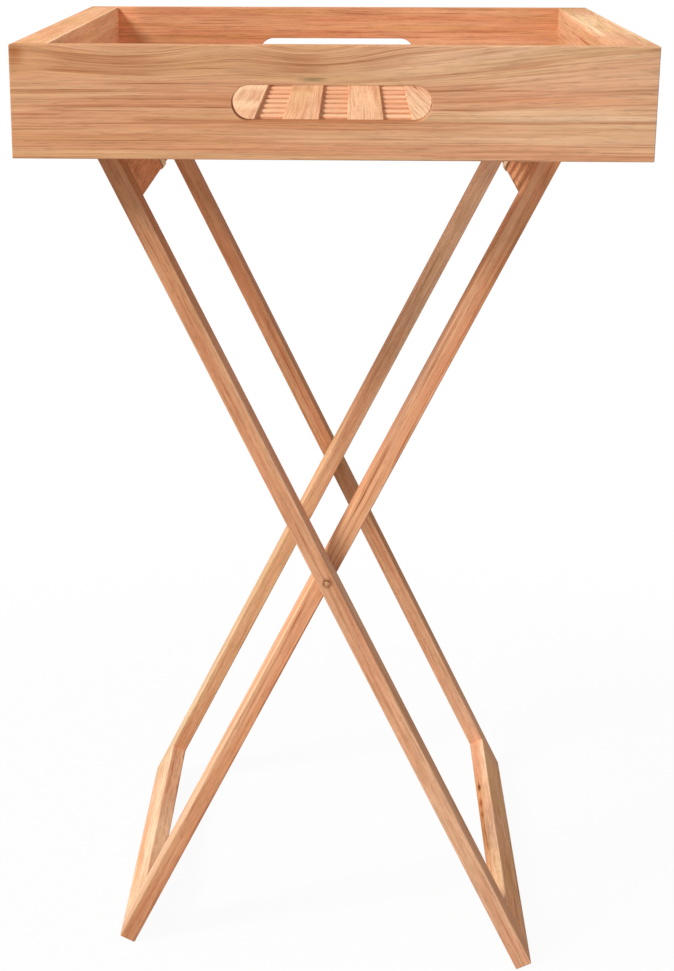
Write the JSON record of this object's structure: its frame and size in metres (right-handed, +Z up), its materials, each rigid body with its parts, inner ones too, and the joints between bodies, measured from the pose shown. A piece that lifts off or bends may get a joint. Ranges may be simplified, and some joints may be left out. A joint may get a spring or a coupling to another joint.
{
  "type": "butler's tray table",
  "caption": "Wooden butler's tray with hand slots and a slatted floor, resting on a crossed-leg folding stand that a webbing strap holds open.",
  "frame": {"origin": "on the floor, under the middle of the tray", "axes": "+X to the right along the tray's front, +Y from front to back, +Z up"},
  "size_m": [0.4, 0.4, 0.6584],
  "materials": {
    "tray_wood": "satin oiled hardwood",
    "floor_wood": "satin oiled hardwood",
    "stand_wood": "satin oiled hardwood",
    "dowel_wood": "plain hardwood",
    "pin_brass": "dull brass",
    "washer_steel": "plain",
    "webbing": "natural cotton webbing"
  },
  "bodies": {
    "outer_frame": {"outer_leg_front": "stand_wood", "outer_leg_back": "stand_wood", "outer_top_rail": "stand_wood", "outer_bottom_rail": "stand_wood", "outer_frame_dowels": "dowel_wood", "strap": "webbing"},
    "inner_frame": {"inner_leg_front": "stand_wood", "inner_leg_back": "stand_wood", "inner_top_rail": "stand_wood", "inner_bottom_rail": "stand_wood", "inner_frame_dowels": "dowel_wood", "pivot_pin_front": "pin_brass", "pivot_pin_back": "pin_brass", "pivot_washer_front": "washer_steel", "pivot_washer_back": "washer_steel"},
    "tray": {"front_board": "tray_wood", "back_board": "tray_wood", "left_side_board": "tray_wood", "right_side_board": "tray_wood", "floor_slat_1": "floor_wood", "floor_slat_2": "floor_wood", "floor_slat_3": "floor_wood", "floor_slat_4": "floor_wood", "floor_slat_5": "floor_wood", "floor_slat_6": "floor_wood", "floor_slat_7": "floor_wood", "floor_slat_8": "floor_wood", "cross_slat_1": "floor_wood", "cross_slat_2": "floor_wood", "cross_slat_3": "floor_wood", "cross_slat_4": "floor_wood", "cross_slat_5": "floor_wood", "cross_slat_6": "floor_wood", "cross_slat_7": "floor_wood", "cross_slat_8": "floor_wood", "cross_slat_9": "floor_wood", "cross_slat_10": "floor_wood", "cross_slat_11": "floor_wood", "tray_corner_dowels": "dowel_wood"}
  },
  "joints": [
    {"name": "stand_fold", "type": "hinge", "parent": "outer_frame", "child": "inner_frame", "pos_m": [0, 0, 0.29551], "axis": [0, -1, 0], "range_deg": [0, 49.5], "deforming": ["strap"]},
    {"name": "tray_lift", "type": "slide", "parent": "outer_frame", "child": "tray", "axis": [0, 0, 1], "range_m": [0, 0.2592]}
  ],
  "couplings": [
    {"joint": "tray_lift", "follows": "stand_fold", "m_per_rad": 0.3}
  ]
}
